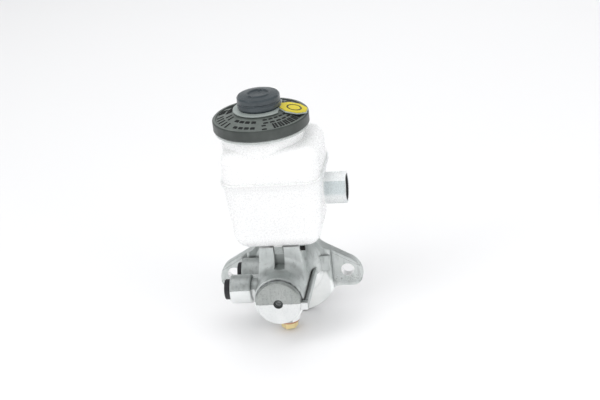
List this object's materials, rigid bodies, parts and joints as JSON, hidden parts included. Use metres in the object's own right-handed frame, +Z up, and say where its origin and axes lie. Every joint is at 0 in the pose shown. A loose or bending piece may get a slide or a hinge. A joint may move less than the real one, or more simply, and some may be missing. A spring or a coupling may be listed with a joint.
{
  "type": "brake master cylinder",
  "caption": "Tandem hydraulic brake master cylinder: cast body with two-ear flange and side outlets, translucent reservoir, screw cap with vent boot and level sensor.",
  "frame": {"origin": "midway between the two flange bolt holes, on the rear mounting face", "axes": "+Y along the bore towards the push rod, -Y towards the closed nose, +Z up towards the filler cap, +X towards the level connector"},
  "size_m": [0.1, 0.106, 0.1716],
  "materials": {
    "cast_aluminium": "die-cast, fine grain, machined faces",
    "reservoir_nylon": "translucent satin",
    "cap_black": "moulded satin",
    "boot_rubber": "smooth moulded",
    "seal_rubber": "smooth moulded",
    "plug_rubber": "smooth moulded",
    "tag_ring_plastic": "moulded",
    "tag_yellow": "printed plate",
    "switch_black": "moulded",
    "tinned_brass": "tinned",
    "pin_black_steel": "black oxide",
    "float_plastic": "foamed",
    "magnet": "ferrite",
    "strainer_nylon": "moulded",
    "piston_aluminium": "turned, hard anodised",
    "bearing_aluminium": "turned",
    "spring_steel": "oiled",
    "zinc_steel": "clear zinc",
    "yellow_zinc": "yellow zinc",
    "copper": "annealed",
    "seat_brass": "turned"
  },
  "bodies": {
    "housing": {"body_casting": "cast_aluminium", "reservoir_lower": "reservoir_nylon", "reservoir_upper": "reservoir_nylon", "filler_strainer": "strainer_nylon", "level_switch": "switch_black", "switch_terminals": "tinned_brass", "reservoir_pin": "pin_black_steel", "front_grommet": "seal_rubber", "rear_grommet": "seal_rubber", "float_clip": "spring_steel", "secondary_spring": "spring_steel", "stop_washer": "spring_steel", "rear_bearing": "bearing_aluminium", "rear_bearing_seal": "seal_rubber", "snap_ring": "spring_steel", "spigot_o_ring": "seal_rubber", "stop_bolt": "yellow_zinc", "stop_bolt_washer": "copper", "outlet_seats": "seat_brass"},
    "cap_lifter": {"cap_diaphragm": "seal_rubber"},
    "cap": {"filler_cap": "cap_black", "cap_boot": "boot_rubber"},
    "tag": {"cap_tag": "tag_ring_plastic", "tag_label": "tag_yellow"},
    "primary": {"primary_piston": "piston_aluminium", "primary_front_cup": "seal_rubber", "retainer_screw": "zinc_steel"},
    "secondary": {"secondary_piston": "piston_aluminium", "secondary_front_cup": "seal_rubber", "secondary_rear_cup": "seal_rubber", "front_cup_washer": "spring_steel", "spring_retainer": "spring_steel", "primary_spring": "spring_steel"},
    "float": {"level_float": "float_plastic", "float_magnet": "magnet"},
    "front_plug": {"front_port_plug": "plug_rubber"},
    "rear_plug": {"rear_port_plug": "plug_rubber"}
  },
  "joints": [
    {"name": "primary_slide", "type": "slide", "parent": "housing", "child": "primary", "axis": [0, -1, 0], "range_m": [0, 0.012], "stiffness_N_per_m": 1500, "springref_m": -0.01, "deforming": ["primary_spring"]},
    {"name": "secondary_slide", "type": "slide", "parent": "housing", "child": "secondary", "axis": [0, -1, 0], "range_m": [0, 0.006], "deforming": ["secondary_spring"]},
    {"name": "cap_lift", "type": "slide", "parent": "housing", "child": "cap_lifter", "axis": [0, 0, 1], "range_m": [0, 0.0076]},
    {"name": "cap_turn", "type": "hinge", "parent": "cap_lifter", "child": "cap", "pos_m": [-0.0033, -0.031, 0.124], "axis": [0, 0, 1], "range_deg": [0, 450]},
    {"name": "tag_swivel", "type": "hinge", "parent": "cap", "child": "tag", "pos_m": [-0.0033, -0.031, 0.1318], "axis": [0, 0, 1], "range_deg": [-180, 180]},
    {"name": "float_rise", "type": "slide", "parent": "housing", "child": "float", "axis": [0, 0, 1], "range_m": [0, 0.0135]},
    {"name": "front_plug_pull", "type": "slide", "parent": "housing", "child": "front_plug", "axis": [-1, 0, 0], "range_m": [0, 0.02]},
    {"name": "rear_plug_pull", "type": "slide", "parent": "housing", "child": "rear_plug", "axis": [-1, 0, 0], "range_m": [0, 0.02]}
  ],
  "couplings": [
    {"joint": "secondary_slide", "follows": "primary_slide", "ratio": 0.5},
    {"joint": "cap_lift", "follows": "cap_turn", "m_per_rad": 0.00095493}
  ]
}
